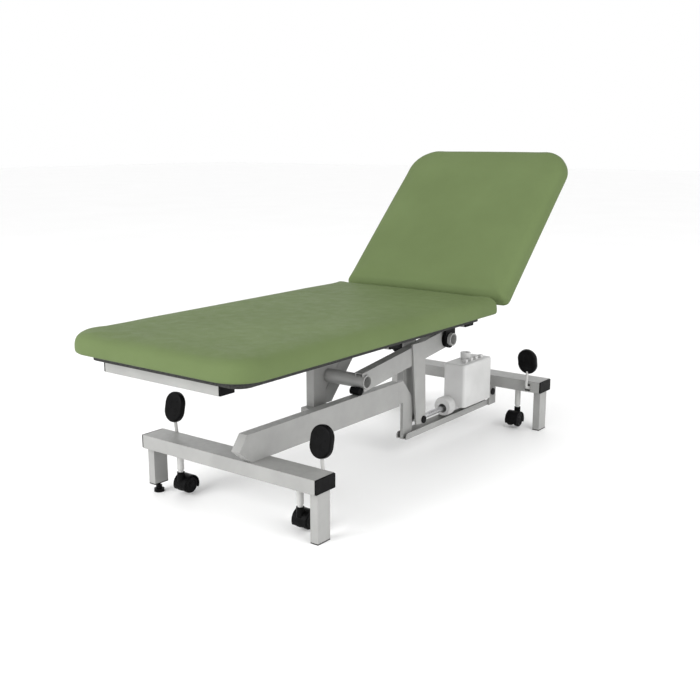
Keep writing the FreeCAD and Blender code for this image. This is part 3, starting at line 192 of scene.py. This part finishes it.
def grain(tree, shader, source, depth, edge=0.0):
    """Bump from a noise, in metres, over edges softened by a small radius."""
    bump = tree.nodes.new("ShaderNodeBump")
    bump.inputs["Strength"].default_value = 1.0
    bump.inputs["Distance"].default_value = depth
    tree.links.new(source, bump.inputs["Height"])
    if edge:
        soft = tree.nodes.new("ShaderNodeBevel")
        soft.samples = 4
        soft.inputs["Radius"].default_value = edge
        tree.links.new(soft.outputs["Normal"], bump.inputs["Normal"])
    tree.links.new(bump.outputs["Normal"], shader.inputs["Normal"])


# %% [markdown]
# The frame is powder coated: a thick, slightly glossy grey coat with a fine orange peel.  The tubes' edges
# are rounded by the coat and the rolling, so the finish softens them by just over a millimetre.

# %% Powder coat
def powder_coat(name, dark, light):
    finish, tree, shader = new_finish(name, 0.34, coat=0.05)
    tint(tree, shader, noise(tree, 14.0), dark, light)
    vary(tree, shader, "Roughness", noise(tree, 60.0), 0.28, 0.42)
    grain(tree, shader, noise(tree, 900.0, 2.0), 0.00004, edge=0.0016)
    return finish


frame_coat = powder_coat("frame_coat", (0.275, 0.275, 0.268), (0.305, 0.305, 0.297))
pedal_coat = powder_coat("pedal_coat", (0.42, 0.42, 0.41), (0.47, 0.47, 0.46))

# %% [markdown]
# Pedal pads, castors and tube caps are black mouldings, and the buffers and plugs are rubber.  A moulding
# shines where hands and shoes polish it; rubber stays matt and dusty.

# %% Black mouldings and rubber
def black_moulding(name, rough_low, rough_high, texture_depth):
    finish, tree, shader = new_finish(name, rough_low, shine=0.05)
    tint(tree, shader, noise(tree, 30.0), (0.003, 0.003, 0.003), (0.006, 0.006, 0.0065))
    vary(tree, shader, "Roughness", noise(tree, 45.0), rough_low, rough_high)
    grain(tree, shader, noise(tree, 1500.0, 2.0), texture_depth, edge=0.0008)
    return finish


pad_moulding = black_moulding("pad_moulding", 0.22, 0.36, 0.00003)
cap_moulding = black_moulding("cap_moulding", 0.35, 0.5, 0.00005)
rubber = black_moulding("rubber", 0.62, 0.8, 0.0001)

# %% [markdown]
# The control box and the drive's tube are white mouldings with a faint spark texture.

# %% White moulding
white_moulding, tree, shader = new_finish("white_moulding", 0.4)
tint(tree, shader, noise(tree, 12.0), (0.50, 0.50, 0.495), (0.55, 0.55, 0.545))
vary(tree, shader, "Roughness", noise(tree, 40.0), 0.34, 0.5)
grain(tree, shader, noise(tree, 1200.0, 2.0), 0.00004, edge=0.0012)

# %% [markdown]
# Bare steel shows only on the drive rod, the strut rod and the spindles.  Turning leaves fine rings, so the
# noise that drives its roughness is squeezed along one direction.

# %% Turned steel
turned_steel, tree, shader = new_finish("turned_steel", 0.25, metallic=1.0)
tint(tree, shader, noise(tree, 20.0), (0.52, 0.52, 0.53), (0.62, 0.62, 0.63))
vary(tree, shader, "Roughness", noise(tree, 300.0, 2.0, stretch=(1.0, 6.0, 1.0)), 0.16, 0.34)
grain(tree, shader, noise(tree, 500.0, 2.0, stretch=(1.0, 8.0, 1.0)), 0.00002, edge=0.0008)

# %% [markdown]
# Under each cushion is a board lined with dark non-woven cloth, seen only as a shadow line.

# %% Dark board (painted shade)
shade_dark_board, tree, shader = new_finish("shade_dark_board", 0.9)
# painted shade: the board's near-black base colour stands in for the shadow line under the cushion
tint(tree, shader, noise(tree, 260.0, 5.0), (0.022, 0.022, 0.022), (0.05, 0.05, 0.048))
grain(tree, shader, noise(tree, 700.0, 4.0), 0.0003)

# %% [markdown]
# The upholstery is a matt green vinyl.  Its pebble grain is a cell pattern, not smooth noise: the cells'
# borders are the creases of the leather it imitates.  A broad, faint noise keeps large areas from
# looking flat.

# %% Green vinyl
green_vinyl, tree, shader = new_finish("green_vinyl", 0.46, shine=0.04)
tint(tree, shader, noise(tree, 5.0, 4.0), (0.108, 0.146, 0.060), (0.117, 0.158, 0.066))
vary(tree, shader, "Roughness", noise(tree, 35.0), 0.42, 0.54)
cells_at = tree.nodes.new("ShaderNodeTexCoord")
cells = tree.nodes.new("ShaderNodeTexVoronoi")
cells.feature = "DISTANCE_TO_EDGE"
cells.inputs["Scale"].default_value = 520.0
tree.links.new(cells_at.outputs["Object"], cells.inputs["Vector"])
grain(tree, shader, cells.outputs["Distance"], 0.0006)

# %% [markdown]
# ## Dressing the steel work
# The record says which finish each solid has, so one small table from slot to finish paints them all.

# %% Paint the solids
FINISHES = {
    "frame_paint": frame_coat, "castor_steel": pedal_coat, "drive_grey": white_moulding,
    "black_caps": cap_moulding, "black_pins": cap_moulding, "black_bushes": cap_moulding,
    "rubber_feet": rubber, "rubber_pads": rubber, "foot_black": cap_moulding,
    "strut_black": cap_moulding, "pedal_black": pad_moulding, "castor_black": pad_moulding,
    "steel": turned_steel, "board": shade_dark_board, "box_white": white_moulding,
    "green_vinyl": green_vinyl,
}
for part in frame["record"]["subparts"]:
    wear(nodes[part["node"]], FINISHES[part["material_slot"]])
print("finishes used:", len(FINISHES))

# %% [markdown]
# ## The cushions
# Each cushion is foam with vinyl pulled over it: flat underneath, a broad round shoulder on top, and sides
# that swell a little.  A slab gives the outline, bevels give the corners and shoulders, and then a short
# cloth simulation with air pressure inside lets the cover swell the way real upholstery does.  The
# underside is held still because it is stapled to its board.

# %% Slab with round corners
def cushion_slab(name, low, high, near_corner, far_corner):
    """A slab whose shoulders are broad on top and tight where the cover turns under."""
    piece = block(name, low, high)
    bevel(piece, lambda e: along(e, 2) and at(e, 1, low.y), near_corner, 14)
    bevel(piece, lambda e: along(e, 2) and at(e, 1, high.y), far_corner, 14)
    bevel(piece, lambda e: at(e, 2, high.z), 0.55 * (high.z - low.z), 8)
    bevel(piece, lambda e: at(e, 2, low.z), 0.2 * (high.z - low.z), 4)
    return piece


# %% Let the cover swell
GRAIN_OF_CLOTH = 0.008
SWELL = 0.005


def swell(piece):
    """Remesh evenly, blow the cover up for a few frames, and keep only a limited part of the movement."""
    pick(piece)
    piece.data.remesh_voxel_size = GRAIN_OF_CLOTH
    bpy.ops.object.voxel_remesh()
    before = [corner.co.copy() for corner in piece.data.vertices]
    floor_z = min(co.z for co in before)
    held = piece.vertex_groups.new(name="stapled")
    held.add([i for i, co in enumerate(before) if co.z < floor_z + 0.6 * GRAIN_OF_CLOTH], 1.0, "REPLACE")
    cloth = piece.modifiers.new("cover", "CLOTH")
    cloth.settings.quality = 4
    cloth.settings.mass = 0.4
    cloth.settings.tension_stiffness = 40
    cloth.settings.compression_stiffness = 40
    cloth.settings.shear_stiffness = 15
    cloth.settings.bending_stiffness = 5
    cloth.settings.use_pressure = True
    cloth.settings.uniform_pressure_force = 4.0
    cloth.settings.vertex_group_mass = "stapled"
    cloth.settings.effector_weights.gravity = 0.0
    cloth.point_cache.frame_start = 1
    cloth.point_cache.frame_end = 20
    for number in range(1, 21):
        bpy.context.scene.frame_set(number)
    bpy.ops.object.modifier_apply(modifier="cover")
    bpy.context.scene.frame_set(1)
    for corner, start in zip(piece.data.vertices, before):
        move = corner.co - start
        corner.co = start + move * (SWELL / (SWELL + move.length))
    print(piece.name, "cover points", len(before))


def smooth_cover(piece):
    pick(piece)
    relax = piece.modifiers.new("relax", "SMOOTH")
    relax.factor = 0.5
    relax.iterations = 6
    bpy.ops.object.modifier_apply(modifier="relax")
    finer = piece.modifiers.new("finer", "SUBSURF")
    finer.levels = 1
    finer.render_levels = 1
    bpy.ops.object.modifier_apply(modifier="finer")


def keep_inside(piece, low, high):
    """Hold the cover to the room that the couch leaves it."""
    for corner in piece.data.vertices:
        for axis in range(3):
            corner.co[axis] = min(max(corner.co[axis], low[axis]), high[axis])


def upholster(piece, low, high):
    swell(piece)
    smooth_cover(piece)
    keep_inside(piece, low, high)


# %% Seat cushion
low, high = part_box("seat_cushion")
seat_room = (Vector((low.x - 0.004, low.y - 0.004, low.z)), Vector((high.x + 0.004, high.y, high.z + 0.004)))
seat_cushion = cushion_slab("seat_cushion_cover", low, high, 0.088, 0.020)
upholster(seat_cushion, *seat_room)
fit(seat_cushion, "seat", green_vinyl, "green_vinyl", "seat_cushion")

# %% [markdown]
# The backrest cushion is made the same way, but it stands at an angle.  It is easiest to sew it lying flat,
# so its solid is measured with the hinge turned back to level, and the finished cover is turned up again
# about the same hinge.

# %% Backrest cushion
back_hinge = Vector(joints["backrest"]["pos_m"])
back_slope = -math.radians(joints["backrest"]["range_deg"][0])
raise_back = (Matrix.Translation(back_hinge) @ Matrix.Rotation(back_slope, 4, "X")
              @ Matrix.Translation(-back_hinge))
level = [raise_back.inverted() @ corner.co for corner in nodes["backrest_cushion"].data.vertices]
low = Vector([min(co[axis] for co in level) for axis in range(3)])
high = Vector([max(co[axis] for co in level) for axis in range(3)])
back_cushion = cushion_slab("backrest_cushion_cover", low, high, 0.020, 0.108)
upholster(back_cushion, Vector((low.x - 0.004, low.y, low.z)),
          Vector((high.x + 0.004, high.y + 0.004, high.z + 0.004)))
back_cushion.matrix_world = raise_back
pick(back_cushion)
bpy.ops.object.transform_apply(location=True, rotation=True, scale=True)
fit(back_cushion, "backrest", green_vinyl, "green_vinyl", "backrest_cushion")

# %% [markdown]
# ## Caps on the tube ends
# A tube cap is a shallow moulding with rounded corners and a softened rim.  One is shaped at each tube end;
# its outer face gets a slight dish, made by insetting that face and pushing it in.

# %% Tube caps
def tube_cap(name, low, high, outward, corner, rim):
    piece = block(name, low, high)
    bevel(piece, lambda e: along(e, 0), corner, 5)
    outer = high.x if outward > 0 else low.x
    bevel(piece, lambda e: at(e, 0, outer), rim, 3)
    choose(piece, "FACE", lambda f: at(f, 0, outer))
    bpy.ops.mesh.inset(thickness=1.5 * rim)
    bpy.ops.transform.translate(value=(-0.3 * rim * outward, 0, 0))
    bpy.ops.object.mode_set(mode="OBJECT")
    return piece


CAP_THICK = 0.005


def caps_for(name, cap_node, rows, depth, corner, rim):
    """A cap at both ends of each tube; a row gives a tube's front face and its half length."""
    outer_low, outer_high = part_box(cap_node)
    made = []
    for start, half in rows:
        for outward, near in ((-1, -half - CAP_THICK), (1, half)):
            low = Vector((near, start, outer_low.z))
            high = Vector((near + CAP_THICK, start + depth, outer_high.z))
            made.append(tube_cap("%s_%d" % (name, len(made)), low, high, outward, corner, rim))
    return join(name, made)


beam_low, beam_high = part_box("cross_beams")
BEAM_DEPTH = 0.080
beam_caps = caps_for("beam_caps", "beam_end_caps",
                     ((beam_low.y, beam_high.x), (beam_high.y - BEAM_DEPTH, beam_high.x)),
                     BEAM_DEPTH, 0.003, 0.0015)
fit(beam_caps, "base", cap_moulding, "black_caps", "beam_end_caps")

seat_low, seat_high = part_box("seat_cross_tubes")
CROSS_DEPTH = 0.050
FOOT_HALF = 0.205
FOOT_TO_MIDDLE = 0.667
middle_row = seat_low.y + FOOT_TO_MIDDLE
seat_caps = caps_for("seat_caps", "seat_tube_caps",
                     ((seat_low.y, FOOT_HALF), (middle_row, seat_high.x),
                      (seat_high.y - CROSS_DEPTH, seat_high.x)), CROSS_DEPTH, 0.002, 0.0012)
fit(seat_caps, "seat", cap_moulding, "black_caps", "seat_tube_caps")

# %% [markdown]
# ## Castor wheels
# Each castor has a pair of wheels with a rounded tread and a dished side.  A wheel starts as a cylinder on
# its axle; its rims are bevelled for the tread, and the outer face is inset and pushed in for the dish.
# All eight wheels are made the same way, and each castor's pair is joined into one piece.

# %% A pair of wheels for every castor
WHEEL_WIDTH = 0.016


def wheel_at(name, centre, radius, width, outward):
    bpy.ops.object.select_all(action="DESELECT")
    bpy.ops.mesh.primitive_cylinder_add(vertices=64, radius=radius, depth=width, location=centre,
                                        rotation=(0, math.pi / 2, 0))
    bpy.ops.object.transform_apply(location=True, rotation=True, scale=True)
    piece = bpy.context.object
    piece.name = name
    for side in (-1, 1):
        rim = centre.x + side * width / 2
        bevel(piece, lambda e: at(e, 0, rim), 0.18 * radius, 5)
    face = centre.x + outward * width / 2
    choose(piece, "FACE", lambda f: at(f, 0, face) and len(f) > 8)
    bpy.ops.mesh.inset(thickness=0.12 * radius)
    bpy.ops.mesh.inset(thickness=0.08 * radius)
    bpy.ops.transform.translate(value=(-0.12 * width * outward, 0, 0))
    bpy.ops.mesh.inset(thickness=0.3 * radius)
    bpy.ops.mesh.inset(thickness=0.05 * radius)
    bpy.ops.transform.translate(value=(0.10 * width * outward, 0, 0))
    bpy.ops.object.mode_set(mode="OBJECT")
    return piece


for corner in ("front_left", "front_right", "rear_left", "rear_right"):
    body = "castor_%s_wheels" % corner
    low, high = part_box(body)
    radius = (high.z - low.z) / 2
    pair = []
    for outward, x in ((-1, low.x + WHEEL_WIDTH / 2), (1, high.x - WHEEL_WIDTH / 2)):
        centre = Vector((x, (low.y + high.y) / 2, (low.z + high.z) / 2))
        pair.append(wheel_at("wheel", centre, radius, WHEEL_WIDTH, outward))
    fit(join("castor_%s_tyres" % corner, pair), body, pad_moulding, "castor_black", body)

# %% [markdown]
# ## The rings on the drive's nose
# The fat nose of the drive tube carries four shallow rings.  Each is a thin torus, half sunk in the nose.

# %% Nose rings
RING_COUNT = 4
FIRST_RING = 0.006
RING_STEP = 0.008
RING_THICK = 0.0020
low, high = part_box("drive_housing")
nose_r = (high.x - low.x) / 2
centre_x = (low.x + high.x) / 2
centre_z = (low.z + high.z) / 2
rings = []
for step in range(RING_COUNT):
    bpy.ops.object.select_all(action="DESELECT")
    bpy.ops.mesh.primitive_torus_add(major_radius=nose_r, minor_radius=RING_THICK, major_segments=72,
                                     minor_segments=10, rotation=(math.pi / 2, 0, 0),
                                     location=(centre_x, low.y + FIRST_RING + RING_STEP * step, centre_z))
    rings.append(bpy.context.object)
fit(join("drive_nose_rings", rings), "drive_unit", white_moulding, "box_white")

# %% [markdown]
# ## Studio
# A pale floor in a room of the same brightness, so that the floor's far edge melts away, one broad light from
# in front of the foot end and a weaker one from the drive side.  The light is low, so upright faces are
# brighter than level ones.

# %% Floor and backdrop
floor_finish, tree, shader = new_finish("studio_floor", 0.55)
tint(tree, shader, noise(tree, 1.2), (0.965, 0.965, 0.965), (0.98, 0.98, 0.98))
bpy.ops.object.select_all(action="DESELECT")
bpy.ops.mesh.primitive_plane_add(size=60.0, location=(0, 0, 0))
floor = bpy.context.object
floor.name = "studio_floor"
wear(floor, floor_finish)

# %% Lights
def soft_light(name, place, aim, size, power):
    bpy.ops.object.select_all(action="DESELECT")
    bpy.ops.object.light_add(type="AREA", location=place)
    light = bpy.context.object
    light.name = name
    light.data.size = size
    light.data.energy = power
    light.rotation_euler = (Vector(aim) - Vector(place)).to_track_quat("-Z", "Y").to_euler()
    return light


MIDDLE = (0.0, 0.0, 0.45)
soft_light("front_light", (-1.2, -4.6, 2.3), MIDDLE, 3.0, 190.0)
soft_light("side_light", (4.4, -0.8, 2.2), MIDDLE, 3.0, 110.0)
world = bpy.data.worlds.new("studio_room")
bpy.context.scene.world = world
world.use_nodes = True
room = world.node_tree.nodes["Background"]
room.inputs["Color"].default_value = (1.0, 1.0, 1.0, 1.0)
room.inputs["Strength"].default_value = 1.0
bpy.context.scene.view_settings.view_transform = "Standard"

# %% Camera
CAMERA_AT = Vector((1.7754, -2.3815, 1.0158))
CAMERA_TURN = math.radians(37.1)
CAMERA_DIP = math.radians(12.3)
bpy.ops.object.select_all(action="DESELECT")
bpy.ops.object.camera_add(location=CAMERA_AT)
camera = bpy.context.object
camera.rotation_euler = (math.pi / 2 - CAMERA_DIP, 0.0, CAMERA_TURN)
camera.data.lens = 49.7
camera.data.sensor_width = 36.0
bpy.context.scene.camera = camera
